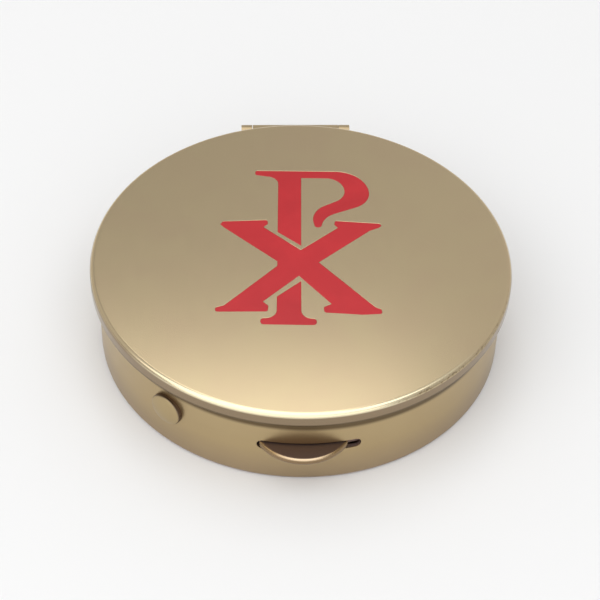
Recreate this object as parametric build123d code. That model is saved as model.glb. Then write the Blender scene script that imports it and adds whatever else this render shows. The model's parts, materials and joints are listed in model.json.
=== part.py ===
from build123d import *

import math
import os

# Round hinged brass pyx. Millimetres, +Z up, front at -Y, origin at the middle of the underside.

# Lid and base, drawn from sheet
LID_RADIUS = 27.0
HEIGHT = 12.7
SHEET = 0.6
LID_SKIRT = 2.0
LID_EDGE_ROUND = 0.65
LID_TO_BASE_GAP = 0.3
BASE_FOOT_BREAK = 0.45

LID_INNER_RADIUS = LID_RADIUS - SHEET
BASE_RADIUS = LID_INNER_RADIUS - LID_TO_BASE_GAP
BASE_INNER_RADIUS = BASE_RADIUS - SHEET
LID_UNDERSIDE = HEIGHT - SHEET
PARTING_HEIGHT = HEIGHT - LID_SKIRT

# Length of the round cutters, overshoot of the flat ones past the part, and distance of equal points
CUTTER = 4 * HEIGHT
OVERSHOOT = 1.0
SAME_PLACE = 0.001

# Gilt well for the hosts
LINER_SHEET = 0.4
WELL_RADIUS = 21.6
WELL_MOUTH_BREAK = 0.5
WELL_FLOOR_BREAK = 0.8
LINER_TOP = 11.0
LINER_TO_WALL_GAP = 0.05

# Hinge
HINGE_WIDTH = 15.1
KNUCKLE_RADIUS = 1.1
END_KNUCKLE = 1.5
KNUCKLE_GAP = 0.1
PIN_RADIUS = 0.55
PIN_STAKED_GAP = 0.01
PIN_RUNNING_GAP = 0.03
KNUCKLE_TO_LID_GAP = 0.05
PIN_BELOW_PARTING = 0.6
HINGE_Y = LID_RADIUS + KNUCKLE_RADIUS + KNUCKLE_TO_LID_GAP
HINGE_Z = PARTING_HEIGHT - PIN_BELOW_PARTING
LEAF_SHEET = 0.5
LEAF_BACK_Y = HINGE_Y - KNUCKLE_RADIUS + LEAF_SHEET
LEAF_BITE = 3.0
LEAF_INSET = 0.15
LID_LEAF_LOW = HINGE_Z
LID_LEAF_TOP = HEIGHT - LID_EDGE_ROUND - LEAF_INSET
BASE_LEAF_LOW = 5.2
BASE_LEAF_TOP = HINGE_Z - KNUCKLE_RADIUS - LEAF_INSET
BASE_LEAF_MIDDLE = (BASE_LEAF_LOW + BASE_LEAF_TOP) / 2
BASE_LEAF_TOE = 0.7
BASE_LEAF_CORNER = 1.4

# Thumb catch in its slot
SLOT_LENGTH = 12.65
SLOT_HEIGHT = 1.45
SLOT_OFFSET = 0.37
CATCH_HEIGHT = 5.95
THUMB_THICK = 1.0
THUMB_RADIUS = 6.3
THUMB_REACH = 28.55
THUMB_OFFSET = -0.275
THUMB_NECK = 10.65
THUMB_EDGE_BREAK = 0.25
SHOULDER_WIDTH = 14.6
SHOULDER_GAP = 0.1
FLANGE_WIDTH = 8.4
FLANGE_THICK = 0.5
FLANGE_LOW = 3.7
THUMB_RIVET_ANGLE = 6.5
THUMB_RIVET_Z = 4.55
THUMB_RIVET_SHANK = 0.4
THUMB_RIVET_HEAD = 0.75
THUMB_RIVET_HEAD_THICK = 0.25

# Leaf spring with the latch tooth. Angles run from the front, positive to the right.
SPRING_THICK = 0.35
SPRING_HEIGHT = 4.6
SPRING_FREE_RADIUS = 24.4
SPRING_SEAT_GAP = 0.02
SPRING_ANGLES = (-46.5, -34.5, -21.0, 18.0)
SPRING_CLEARANCE = 0.05
TONGUE_WIDTH = 6.4
TONGUE_TOP = 9.4
TOOTH_WIDTH = 4.0
TOOTH_LOW = 8.1
TOOTH_LIP = 0.25
TOOTH_TOP = 9.2
TOOTH_REACH = 25.15

# Striker under the lid
STRIKER_RADIUS = 25.2
STRIKER_THICK = 0.45
STRIKER_WIDTH = 7.0
STRIKER_LOW = 7.0
STRIKER_WINDOW_WIDTH = 4.6
STRIKER_WINDOW_LOW = 8.0
STRIKER_WINDOW_TOP = 9.6
STRIKER_FOOT_REACH = 22.4
STRIKER_BEND = 0.4
STRIKER_NOTCH_MARGIN = 0.8
STRIKER_NOTCH_RADIUS = 24.0

# Rivet with a low domed head that anchors the spring
RIVET_ANGLE = -39.8
RIVET_Z = 6.55
RIVET_HEAD_RADIUS = 2.2
RIVET_HEAD_THICK = 1.0
RIVET_CROWN = 0.42
RIVET_SHANK = 0.9
RIVET_TAIL_RADIUS = 1.5
RIVET_TAIL_THICK = 0.5

# Enamel, flush in etched recesses
ENAMEL_DEPTH = 0.2
EMBLEM_MIDDLE = (0.05, 0.0)
EMBLEM_TURN = -1.5
SERIF_ROUND = 0.3

# Chi: two crossing bars with slab serifs, clockwise from the notch over the crossing
CHI_OUTLINE = (
    (-0.1, 1.4),
    (4.75, 5.7),
    (4.3, 6.3),
    (4.35, 7.05),
    (10.2, 6.65),
    (10.45, 6.25),
    (10.1, 5.85),
    (8.9, 5.25),
    (2.2, -0.85),
    (9.2, -8.8),
    (9.95, -9.15),
    (10.05, -9.95),
    (7.6, -10.15),
    (2.85, -9.85),
    (2.75, -8.9),
    (3.75, -8.35),
    (-0.35, -3.35),
    (-4.85, -8.05),
    (-4.15, -8.8),
    (-4.25, -9.8),
    (-10.7, -9.95),
    (-10.8, -9.25),
    (-9.7, -8.85),
    (-3.1, -1.6),
    (-3.1, -0.75),
    (-10.1, 5.5),
    (-10.6, 6.1),
    (-10.3, 6.65),
    (-4.45, 7.05),
    (-4.4, 6.3),
    (-4.95, 5.65),
)
CHI_SERIF_ENDS = (
    (4.35, 7.05),
    (9.95, -9.15),
    (10.05, -9.95),
    (2.85, -9.85),
    (2.75, -8.9),
    (-4.15, -8.8),
    (-4.25, -9.8),
    (-10.7, -9.95),
    (-10.8, -9.25),
    (-4.45, 7.05),
)

# Rho: a straight stem with a bracketed serif, and a bowl that curls in to a free tail
STEM_LEFT = -3.1
STEM_RIGHT = -0.05
STEM_CUT_LEFT = 4.75
STEM_TIP = 2.2
SERIF_LEFT = -6.2
SERIF_UNDER = 16.0
SERIF_TOP = 16.85
STEM_BRACKET = 14.2
BRACKET_END = (-4.6, 15.7)
BOWL_TOP = (4.6, 16.9)
BOWL_RIGHT = (9.0, 12.8)
BOWL_LOW = (7.2, 9.75)
BOWL_RUN = 3.2
TAIL_RIGHT = (2.65, 6.25)
TAIL_TIP = (2.2, 5.75)
TAIL_LEFT = (1.68, 6.3)
THROAT_MIDDLE = (1.6, 8.0)
THROAT_TOP = (3.0, 9.95)
EYE_LOW = (4.6, 10.9)
EYE_RIGHT = (5.75, 13.0)
EYE_TOP = (3.6, 15.5)

# Foot of the rho, under the crossing
FOOT_TIP = -4.3
FOOT_CUT_LEFT = -7.15
FOOT_BRACKET = -9.55
FOOT_SERIF_TOP = -10.95
FOOT_BASE = -12.05
FOOT_SERIF_LEFT = -5.1
FOOT_SERIF_RIGHT = 1.85
FOOT_BRACKET_REACH = 1.4
FOOT_SERIF_ROUND = 0.45


def turned(points):
    """Solid of revolution about Z from a closed outline of (radius, height) points."""
    outline = make_face(Polyline(*[(radius, 0, height) for radius, height in points], close=True))
    return revolve(outline, Axis.Z, 360)


def slab(x_range, y_range, z_range):
    """Box between two limits on each axis."""
    ranges = (x_range, y_range, z_range)
    sizes = [high - low for low, high in ranges]
    middles = [(high + low) / 2 for low, high in ranges]
    return Pos(*middles) * Box(*sizes)


def tube(inner, outer, z_low, z_high):
    """Ring about Z between two radii and two heights."""
    height = z_high - z_low
    return Pos(0, 0, (z_low + z_high) / 2) * (Cylinder(outer, height) - Cylinder(inner, height))


def front_band(inner, outer, z_low, z_high, width):
    """Piece of a ring at the front, cut to a width across the front."""
    front = slab((-width / 2, width / 2), (-outer - OVERSHOOT, 0), (z_low, z_high))
    return tube(inner, outer, z_low, z_high) & front


def break_edges(solid, radius, size, height=None):
    """Break the circular edges of one radius, all of them or those at one height."""
    edges = [e for e in solid.edges().filter_by(GeomType.CIRCLE) if math.isclose(e.radius, radius)]
    if height is not None:
        edges = [e for e in edges if math.isclose(e.center().Z, height)]
    return chamfer(edges, size)


def polar(radius, angle):
    """Point in plan at an angle from the front, positive to the right."""
    turn = math.radians(angle)
    return (radius * math.sin(turn), -radius * math.cos(turn))


def along(angle):
    """Direction in plan of a circle about Z, at an angle from the front."""
    turn = math.radians(angle)
    return (math.cos(turn), math.sin(turn))


def plan_arc(radius, start, end):
    """Arc about Z in plan between two angles from the front."""
    return ThreePointArc(polar(radius, start), polar(radius, (start + end) / 2), polar(radius, end))


def outward(angle, height):
    """Plane whose Z axis points outward from the middle, at an angle from the front."""
    x, y = polar(1, angle)
    return Plane(origin=(0, 0, height), x_dir=(0, 0, 1), z_dir=(x, y, 0))


def peg(plane, radius, start, end):
    """Round peg along a plane's Z axis between two distances."""
    return plane * Pos(0, 0, (start + end) / 2) * Cylinder(radius, end - start)


def cross_bar(outline, x_start, x_end):
    """Bar along X with an outline of (y, z) points."""
    section = make_face(Polyline(*[(x_start, y, z) for y, z in outline], close=True))
    return extrude(section, x_end - x_start, (1, 0, 0))


def hinge_cylinder(radius, x_start, x_end):
    """Cylinder on the hinge's axis."""
    return Pos((x_start + x_end) / 2, HINGE_Y, HINGE_Z) * Rot(0, 90, 0) * Cylinder(radius, x_end - x_start)


def base_cup():
    cup = Pos(0, 0, LID_UNDERSIDE / 2) * Cylinder(BASE_RADIUS, LID_UNDERSIDE)
    cup = chamfer(cup.edges().group_by(Axis.Z)[0], BASE_FOOT_BREAK)
    cup -= Pos(0, 0, SHEET + HEIGHT / 2) * Cylinder(BASE_INNER_RADIUS, HEIGHT)
    slot = Plane.XZ * SlotOverall(SLOT_LENGTH, SLOT_HEIGHT)
    cup -= Pos(SLOT_OFFSET, 0, CATCH_HEIGHT) * extrude(slot, BASE_RADIUS + SHEET)
    return cup - peg(outward(RIVET_ANGLE, RIVET_Z), RIVET_SHANK, 0, BASE_RADIUS + SHEET)


def host_liner():
    floor = SHEET
    well_outer = WELL_RADIUS + LINER_SHEET
    flange_radius = BASE_INNER_RADIUS - LINER_TO_WALL_GAP
    liner = turned(
        (
            (0, floor),
            (well_outer, floor),
            (well_outer, LINER_TOP - LINER_SHEET),
            (flange_radius, LINER_TOP - LINER_SHEET),
            (flange_radius, LINER_TOP),
            (WELL_RADIUS, LINER_TOP),
            (WELL_RADIUS, floor + LINER_SHEET),
            (0, floor + LINER_SHEET),
        )
    )
    liner = break_edges(liner, WELL_RADIUS, WELL_MOUTH_BREAK, LINER_TOP)
    liner = break_edges(liner, WELL_RADIUS, WELL_FLOOR_BREAK, floor + LINER_SHEET)
    notch_half = STRIKER_WIDTH / 2 + STRIKER_NOTCH_MARGIN
    notch = slab((-notch_half, notch_half), (-BASE_RADIUS, 0), (LINER_TOP - OVERSHOOT, LINER_TOP + OVERSHOOT))
    return liner - (notch - Cylinder(STRIKER_NOTCH_RADIUS, CUTTER))


def lug_outline():
    """Ear from the base leaf up to the pin, with its back face tangent to the knuckle."""
    rise = HINGE_Z - BASE_LEAF_MIDDLE
    run = HINGE_Y - LEAF_BACK_Y
    distance = math.hypot(run, rise)
    slope = math.atan2(rise, run) - math.asin(KNUCKLE_RADIUS / distance)
    length = math.sqrt(distance**2 - KNUCKLE_RADIUS**2)
    inside = BASE_RADIUS - LEAF_BITE
    return (
        (inside, BASE_LEAF_MIDDLE),
        (LEAF_BACK_Y, BASE_LEAF_MIDDLE),
        (LEAF_BACK_Y + length * math.cos(slope), BASE_LEAF_MIDDLE + length * math.sin(slope)),
        (HINGE_Y, HINGE_Z),
        (inside, HINGE_Z),
    )


def base_hinge_leaf():
    half = HINGE_WIDTH / 2
    inside = BASE_RADIUS - LEAF_BITE
    plate_outline = (
        (inside, BASE_LEAF_LOW),
        (BASE_RADIUS + BASE_LEAF_TOE, BASE_LEAF_LOW),
        (LEAF_BACK_Y, BASE_LEAF_MIDDLE),
        (LEAF_BACK_Y, BASE_LEAF_TOP),
        (inside, BASE_LEAF_TOP),
    )
    leaf = cross_bar(plate_outline, -half, half)
    leaf = fillet(leaf.edges().filter_by(Axis.Y).group_by(Axis.Z)[0], BASE_LEAF_CORNER)
    for start in (-half, half - END_KNUCKLE):
        leaf += cross_bar(lug_outline(), start, start + END_KNUCKLE)
        leaf += hinge_cylinder(KNUCKLE_RADIUS, start, start + END_KNUCKLE)
    leaf -= hinge_cylinder(PIN_RADIUS + PIN_STAKED_GAP, -half, half)
    return leaf - Cylinder(BASE_RADIUS, CUTTER)


def lid_hinge_leaf():
    half = HINGE_WIDTH / 2 - END_KNUCKLE - KNUCKLE_GAP
    inside = LID_RADIUS - LEAF_BITE
    leaf = slab((-half, half), (inside, LEAF_BACK_Y), (LID_LEAF_LOW, LID_LEAF_TOP))
    leaf += hinge_cylinder(KNUCKLE_RADIUS, -half, half)
    leaf -= hinge_cylinder(PIN_RADIUS + PIN_RUNNING_GAP, -half, half)
    return leaf - Cylinder(LID_RADIUS, CUTTER)


def hinge_pin():
    return hinge_cylinder(PIN_RADIUS, -HINGE_WIDTH / 2, HINGE_WIDTH / 2)


def spring_face(offset):
    """Edges of one face of the leaf spring in plan, moved inward by an offset."""
    seat = BASE_INNER_RADIUS - SPRING_SEAT_GAP - offset
    free = SPRING_FREE_RADIUS - offset
    seat_start, seat_end, free_start, free_end = SPRING_ANGLES
    return [
        plan_arc(seat, seat_start, seat_end),
        Spline(polar(seat, seat_end), polar(free, free_start), tangents=(along(seat_end), along(free_start))),
        plan_arc(free, free_start, free_end),
    ]


def catch_spring():
    outer = spring_face(0)
    inner = spring_face(SPRING_THICK)
    ends = [Line(outer[0] @ 0, inner[0] @ 0), Line(outer[2] @ 1, inner[2] @ 1)]
    low = CATCH_HEIGHT - SPRING_HEIGHT / 2
    spring = Pos(0, 0, low) * extrude(make_face(outer + inner + ends), SPRING_HEIGHT)
    inside = SPRING_FREE_RADIUS - SPRING_THICK
    spring += front_band(inside, SPRING_FREE_RADIUS, low, TONGUE_TOP, TONGUE_WIDTH)
    root = -(SPRING_FREE_RADIUS - SPRING_THICK / 2)
    tooth_outline = (
        (root, TOOTH_LOW),
        (-TOOTH_REACH, TOOTH_LOW),
        (-TOOTH_REACH, TOOTH_LOW + TOOTH_LIP),
        (root, TOOTH_TOP),
    )
    spring += cross_bar(tooth_outline, -TOOTH_WIDTH / 2, TOOTH_WIDTH / 2)
    spring -= peg(outward(RIVET_ANGLE, RIVET_Z), RIVET_SHANK, 0, BASE_RADIUS)
    for angle in (-THUMB_RIVET_ANGLE, THUMB_RIVET_ANGLE):
        spring -= peg(outward(angle, THUMB_RIVET_Z), THUMB_RIVET_SHANK + SPRING_CLEARANCE, 0, BASE_RADIUS)
    return spring


def catch_rivet():
    axis = outward(RIVET_ANGLE, RIVET_Z)
    crown_radius = (RIVET_HEAD_RADIUS**2 + RIVET_CROWN**2) / (2 * RIVET_CROWN)
    crown_centre = BASE_RADIUS + RIVET_HEAD_THICK - crown_radius
    head = peg(axis, RIVET_HEAD_RADIUS, BASE_INNER_RADIUS, BASE_RADIUS + RIVET_HEAD_THICK)
    head &= axis * Pos(0, 0, crown_centre) * Sphere(crown_radius)
    head -= Cylinder(BASE_RADIUS, CUTTER)
    spring_inside = BASE_INNER_RADIUS - SPRING_SEAT_GAP - SPRING_THICK
    shank = peg(axis, RIVET_SHANK, spring_inside - RIVET_TAIL_THICK, BASE_RADIUS + RIVET_HEAD_THICK / 2)
    tail = peg(axis, RIVET_TAIL_RADIUS, spring_inside - RIVET_TAIL_THICK, spring_inside - SPRING_CLEARANCE)
    return head + shank + tail


def thumb_catch():
    inside = SPRING_FREE_RADIUS + SPRING_CLEARANCE
    low = CATCH_HEIGHT - THUMB_THICK / 2
    high = CATCH_HEIGHT + THUMB_THICK / 2
    plate = Pos(THUMB_OFFSET, THUMB_RADIUS - THUMB_REACH, CATCH_HEIGHT) * Cylinder(THUMB_RADIUS, THUMB_THICK)
    plate = break_edges(plate, THUMB_RADIUS, THUMB_EDGE_BREAK)
    neck_low = THUMB_OFFSET - THUMB_NECK / 2
    plate &= slab((neck_low, neck_low + THUMB_NECK), (-THUMB_REACH - OVERSHOOT, -inside / 2), (low, high))
    plate += front_band(inside, BASE_INNER_RADIUS - SHOULDER_GAP, low, high, SHOULDER_WIDTH)
    plate -= Cylinder(inside, CUTTER)
    catch = plate + front_band(inside, inside + FLANGE_THICK, FLANGE_LOW, high, FLANGE_WIDTH)
    for angle in (-THUMB_RIVET_ANGLE, THUMB_RIVET_ANGLE):
        catch -= peg(outward(angle, THUMB_RIVET_Z), THUMB_RIVET_SHANK, 0, BASE_RADIUS)
    return catch


def thumb_rivets():
    flange_outside = SPRING_FREE_RADIUS + SPRING_CLEARANCE + FLANGE_THICK
    spring_inside = SPRING_FREE_RADIUS - SPRING_THICK - SPRING_CLEARANCE
    rivets = []
    for angle in (-THUMB_RIVET_ANGLE, THUMB_RIVET_ANGLE):
        axis = outward(angle, THUMB_RIVET_Z)
        head_end = spring_inside - THUMB_RIVET_HEAD_THICK
        shank = peg(axis, THUMB_RIVET_SHANK, head_end, flange_outside)
        rivets.append(shank + peg(axis, THUMB_RIVET_HEAD, head_end, spring_inside))
    return Compound(children=rivets)


def lid_shell(enamels):
    lid = Pos(0, 0, HEIGHT - LID_SKIRT / 2) * Cylinder(LID_RADIUS, LID_SKIRT)
    lid = fillet(lid.edges().group_by(Axis.Z)[-1], LID_EDGE_ROUND)
    lid -= Pos(0, 0, LID_UNDERSIDE - HEIGHT / 2) * Cylinder(LID_INNER_RADIUS, HEIGHT)
    for enamel in enamels:
        lid -= enamel
    return lid


def lid_striker():
    inside = STRIKER_RADIUS - STRIKER_THICK
    half = STRIKER_WIDTH / 2
    strap = front_band(inside, STRIKER_RADIUS, STRIKER_LOW, LID_UNDERSIDE, STRIKER_WIDTH)
    window_half = STRIKER_WINDOW_WIDTH / 2
    strap -= slab((-window_half, window_half), (-BASE_RADIUS, 0), (STRIKER_WINDOW_LOW, STRIKER_WINDOW_TOP))
    foot_low = LID_UNDERSIDE - STRIKER_THICK
    foot = slab((-half, half), (-BASE_RADIUS, -STRIKER_FOOT_REACH), (foot_low, LID_UNDERSIDE))
    striker = strap + (foot & Cylinder(STRIKER_RADIUS, CUTTER))
    return break_edges(striker, STRIKER_RADIUS, STRIKER_BEND, LID_UNDERSIDE)


def round_corners(face, places, size):
    """Round a flat face's corners that lie at the given places."""
    corners = []
    for corner in face.vertices():
        if any(math.dist((corner.X, corner.Y), place) < SAME_PLACE for place in places):
            corners.append(corner)
    return fillet(corners, size)


def inlay(face):
    """Flush enamel filling of a flat face, turned and moved to its place on the lid."""
    place = Pos(*EMBLEM_MIDDLE, HEIGHT - ENAMEL_DEPTH) * Rot(0, 0, EMBLEM_TURN)
    return place * extrude(face, ENAMEL_DEPTH, (0, 0, 1))


def enamel_chi():
    chi = make_face(Polyline(*CHI_OUTLINE, close=True))
    return inlay(round_corners(chi, CHI_SERIF_ENDS, SERIF_ROUND))


def enamel_rho_head():
    crown = TangentArc(BOWL_TOP, BOWL_RIGHT, tangent=(1, 0))
    cheek = TangentArc(crown @ 1, BOWL_LOW, tangent=crown % 1)
    underside = Line(cheek @ 1, cheek @ 1 + BOWL_RUN * (cheek % 1))
    curl = TangentArc(underside @ 1, TAIL_RIGHT, tangent=underside % 1)
    tail = ThreePointArc(TAIL_RIGHT, TAIL_TIP, TAIL_LEFT)
    throat = ThreePointArc(TAIL_LEFT, THROAT_MIDDLE, THROAT_TOP)
    eye_low = Line(THROAT_TOP, EYE_LOW)
    eye_right = TangentArc(EYE_LOW, EYE_RIGHT, tangent=eye_low % 1)
    eye_top = TangentArc(EYE_RIGHT, EYE_TOP, tangent=eye_right % 1)
    stem = Polyline(
        EYE_TOP,
        (STEM_RIGHT, EYE_TOP[1]),
        (STEM_RIGHT, STEM_TIP),
        (STEM_LEFT, STEM_CUT_LEFT),
        (STEM_LEFT, STEM_BRACKET),
    )
    bracket = TangentArc(stem @ 1, BRACKET_END, tangent=(0, 1))
    serif_end = ((SERIF_LEFT, SERIF_UNDER), (SERIF_LEFT, SERIF_TOP))
    serif = Polyline(BRACKET_END, *serif_end, BOWL_TOP)
    bowl = [crown, cheek, underside, curl, tail, throat, eye_low, eye_right, eye_top]
    head = make_face([*bowl, *stem.edges(), bracket, *serif.edges()])
    return inlay(round_corners(head, serif_end, SERIF_ROUND))


def enamel_rho_foot():
    right_end = (STEM_RIGHT + FOOT_BRACKET_REACH, FOOT_SERIF_TOP)
    left_end = (STEM_LEFT - FOOT_BRACKET_REACH, FOOT_SERIF_TOP)
    right_bracket = TangentArc((STEM_RIGHT, FOOT_BRACKET), right_end, tangent=(0, -1))
    left_bracket = TangentArc((STEM_LEFT, FOOT_BRACKET), left_end, tangent=(0, -1))
    corners = (
        (FOOT_SERIF_RIGHT, FOOT_SERIF_TOP),
        (FOOT_SERIF_RIGHT, FOOT_BASE),
        (FOOT_SERIF_LEFT, FOOT_BASE),
        (FOOT_SERIF_LEFT, FOOT_SERIF_TOP),
    )
    serif = Polyline(right_end, *corners, left_end)
    stem = Polyline(left_bracket @ 0, (STEM_LEFT, FOOT_CUT_LEFT), (STEM_RIGHT, FOOT_TIP), right_bracket @ 0)
    foot = make_face([right_bracket, *serif.edges(), left_bracket, *stem.edges()])
    return inlay(round_corners(foot, corners, FOOT_SERIF_ROUND))


def main():
    enamels = {
        "enamel_chi": enamel_chi(),
        "enamel_rho_head": enamel_rho_head(),
        "enamel_rho_foot": enamel_rho_foot(),
    }
    pieces = {
        "base_cup": base_cup(),
        "host_liner": host_liner(),
        "base_hinge_leaf": base_hinge_leaf(),
        "hinge_pin": hinge_pin(),
        "catch_spring": catch_spring(),
        "catch_rivet": catch_rivet(),
        "thumb_catch": thumb_catch(),
        "thumb_rivets": thumb_rivets(),
        "lid_shell": lid_shell(enamels.values()),
        "lid_hinge_leaf": lid_hinge_leaf(),
        "lid_striker": lid_striker(),
    }
    os.makedirs("parts", exist_ok=True)
    for node, shape in (pieces | enamels).items():
        export_step(shape, f"parts/{node}.step")


main()
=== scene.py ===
import json
import math

import bmesh
import bpy
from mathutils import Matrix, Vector


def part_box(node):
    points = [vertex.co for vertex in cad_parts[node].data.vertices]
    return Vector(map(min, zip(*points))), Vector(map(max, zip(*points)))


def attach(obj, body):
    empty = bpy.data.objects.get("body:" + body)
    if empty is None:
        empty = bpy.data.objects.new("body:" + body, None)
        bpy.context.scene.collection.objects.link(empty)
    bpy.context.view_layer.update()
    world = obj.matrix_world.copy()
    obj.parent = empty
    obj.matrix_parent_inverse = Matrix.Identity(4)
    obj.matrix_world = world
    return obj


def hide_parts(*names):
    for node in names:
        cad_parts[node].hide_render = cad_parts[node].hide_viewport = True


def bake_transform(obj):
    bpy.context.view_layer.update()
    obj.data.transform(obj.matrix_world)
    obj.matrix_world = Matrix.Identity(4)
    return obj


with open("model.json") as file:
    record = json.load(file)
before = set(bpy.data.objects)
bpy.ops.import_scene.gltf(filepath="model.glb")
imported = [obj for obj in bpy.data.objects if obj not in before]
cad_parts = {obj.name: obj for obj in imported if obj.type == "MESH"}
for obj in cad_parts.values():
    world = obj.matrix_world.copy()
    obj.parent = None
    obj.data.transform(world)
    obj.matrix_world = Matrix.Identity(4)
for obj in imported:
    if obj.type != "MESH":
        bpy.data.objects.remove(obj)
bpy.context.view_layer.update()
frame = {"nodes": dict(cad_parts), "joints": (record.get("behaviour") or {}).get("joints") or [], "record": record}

MM = 0.001
UP = Vector((0, 0, 1))
FRONT = Vector((0, -1, 0))
RIGHT = Vector((1, 0, 0))
IN_PLAN = Vector((1, 1, 0))
ORIGIN = Vector((0, 0, 0))

RECORD = frame["record"]
SLOTS = {part["node"]: part["material_slot"] for part in RECORD["subparts"]}
BODIES = {node: body for body, nodes in RECORD["behaviour"]["bodies"].items() for node in nodes}
JOINTS = {joint["name"]: joint for joint in frame["joints"]}

# Lid and base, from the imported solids
LID_LOW, LID_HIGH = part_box("lid_shell")
LID_RADIUS = LID_HIGH.x
LID_TOP = LID_HIGH.z
PARTING = LID_LOW.z
BASE_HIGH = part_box("base_cup")[1]
BASE_RADIUS = BASE_HIGH.x
LID_UNDERSIDE = BASE_HIGH.z
LINER_LOW, LINER_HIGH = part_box("host_liner")
SHEET = LINER_LOW.z
LINER_TOP = LINER_HIGH.z
FLANGE_RADIUS = LINER_HIGH.x
LID_INNER_RADIUS = LID_RADIUS - SHEET
BASE_INNER_RADIUS = BASE_RADIUS - SHEET

# Rounded corners of the drawn sheet
LID_EDGE_ROUND = 0.65 * MM
LID_INNER_ROUND = 0.3 * MM
SKIRT_ROUND = 0.2 * MM
FOOT_ROUND = 0.6 * MM
CUP_INNER_ROUND = 0.4 * MM
RIM_ROUND = 0.2 * MM

# Gilt well
LINER_SHEET = 0.4 * MM
WELL_RADIUS = 21.6 * MM
WELL_MOUTH_ROUND = 0.6 * MM
WELL_FLOOR_ROUND = 0.9 * MM
FLANGE_EDGE_ROUND = 0.12 * MM
NOTCH_HALF_WIDTH = 4.3 * MM
NOTCH_RADIUS = 24.0 * MM

# Hinge
HINGE = Vector(JOINTS["lid_hinge"]["pos_m"])
HINGE_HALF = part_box("hinge_pin")[1].x
LID_LEAF_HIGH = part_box("lid_hinge_leaf")[1]
KNUCKLE_RADIUS = LID_LEAF_HIGH.y - HINGE.y
PIN_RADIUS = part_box("hinge_pin")[1].z - HINGE.z
END_KNUCKLE = 1.5 * MM
LEAF_SHEET = 0.5 * MM
LEAF_INSET = 0.15 * MM
LEAF_BACK = HINGE.y - KNUCKLE_RADIUS + LEAF_SHEET
LEAF_BITE = 3.0 * MM
BASE_LEAF_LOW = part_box("base_hinge_leaf")[0].z
BASE_LEAF_TOP = HINGE.z - KNUCKLE_RADIUS - LEAF_INSET
BASE_LEAF_MIDDLE = (BASE_LEAF_LOW + BASE_LEAF_TOP) / 2
BASE_LEAF_TOE = 0.7 * MM
BASE_LEAF_CORNER = 1.4 * MM
PIN_GAP = 0.02 * MM
HINGE_EDGE_ROUND = 0.09 * MM
PIN_END_ROUND = 0.25 * MM

# Thumb catch in its slot
THUMB_LOW, THUMB_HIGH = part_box("thumb_catch")
THUMB_THICK = 1.0 * MM
THUMB_RADIUS = 6.3 * MM
THUMB_OFFSET = -0.275 * MM
THUMB_NECK = 10.65 * MM
THUMB_EDGE_ROUND = 0.38 * MM
CATCH_HEIGHT = THUMB_HIGH.z - THUMB_THICK / 2
SLOT_LENGTH = 12.65 * MM
SLOT_HEIGHT = 1.45 * MM
SLOT_OFFSET = 0.37 * MM
SLOT_EDGE_ROUND = 0.18 * MM
CATCH_INSIDE = 24.45 * MM
SHOULDER_OUTSIDE = 25.4 * MM
SHOULDER_HALF_WIDTH = THUMB_HIGH.x
FLANGE_HALF_WIDTH = 4.2 * MM
FLANGE_THICK = 0.5 * MM
JOIN_STEP = 0.02 * MM

# Anchor rivet of the leaf spring
RIVET_ANGLE = math.radians(-39.8)
RIVET_HEIGHT = 6.55 * MM
RIVET_OUT = Vector((math.sin(RIVET_ANGLE), -math.cos(RIVET_ANGLE), 0))
RIVET_HEAD_RADIUS = 2.2 * MM
RIVET_HEAD_THICK = 1.0 * MM
RIVET_HEAD_TOP = BASE_RADIUS + RIVET_HEAD_THICK
RIVET_CROWN = 0.42 * MM
RIVET_SIDE = RIVET_HEAD_TOP - RIVET_CROWN
RIVET_CROWN_STEPS = 8
RIVET_EDGE_ROUND = 0.2 * MM
RIVET_SHANK = 0.9 * MM
RIVET_TAIL_RADIUS = 1.5 * MM
RIVET_TAIL_FROM = 24.63 * MM
RIVET_TAIL_TO = 25.08 * MM

# Enamel
ENAMEL_EDGE_ROUND = 0.06 * MM
RECESS_EDGE_ROUND = 0.035 * MM
EMBLEM_REACH = 20.0 * MM

# Small edges of the strips and of their rivets
STRIP_EDGE_ROUND = 0.05 * MM

# Limits used while modelling
SMOOTH_ANGLE = math.radians(35)
FLAT_ANGLE = math.radians(0.05)
MERGE_DISTANCE = 0.001 * MM
OVERSHOOT = 1.0 * MM

# Fineness of turned, swept and rounded shapes
TURN_STEPS = 256
RIVET_STEPS = 96
BAND_STEPS = 24
ROD_SIDES = 96
THUMB_SIDES = 192
CORNER_SEGMENTS = 7
EDGE_SEGMENTS = 3
THUMB_EDGE_SEGMENTS = 5
LEAF_CORNER_SEGMENTS = 8


# Modelling by hand

def edit(piece):
    """Open one piece alone in edit mode."""
    bpy.ops.object.select_all(action="DESELECT")
    piece.select_set(True)
    bpy.context.view_layer.objects.active = piece
    bpy.ops.object.mode_set(mode="EDIT")
    bpy.ops.mesh.select_mode(type="VERT")


def close(piece):
    """Merge what meets, turn the faces outward and leave edit mode."""
    bpy.ops.mesh.select_all(action="SELECT")
    bpy.ops.mesh.remove_doubles(threshold=MERGE_DISTANCE)
    bpy.ops.mesh.normals_make_consistent(inside=False)
    bpy.ops.object.mode_set(mode="OBJECT")
    return piece


def select(piece, kind, test):
    """Select the vertices, edges or faces that pass a test, in edit mode."""
    bpy.ops.mesh.select_mode(type=kind)
    bpy.ops.mesh.select_all(action="DESELECT")
    mesh = bmesh.from_edit_mesh(piece.data)
    elements = {"VERT": mesh.verts, "EDGE": mesh.edges, "FACE": mesh.faces}[kind]
    for element in elements:
        if test(element):
            element.select_set(True)
    mesh.select_flush_mode()
    bmesh.update_edit_mesh(piece.data)


def near(point, place):
    return (point - place).length < MERGE_DISTANCE


def named(name):
    piece = bpy.context.object
    piece.name = name
    piece.data.name = name
    return piece


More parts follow.
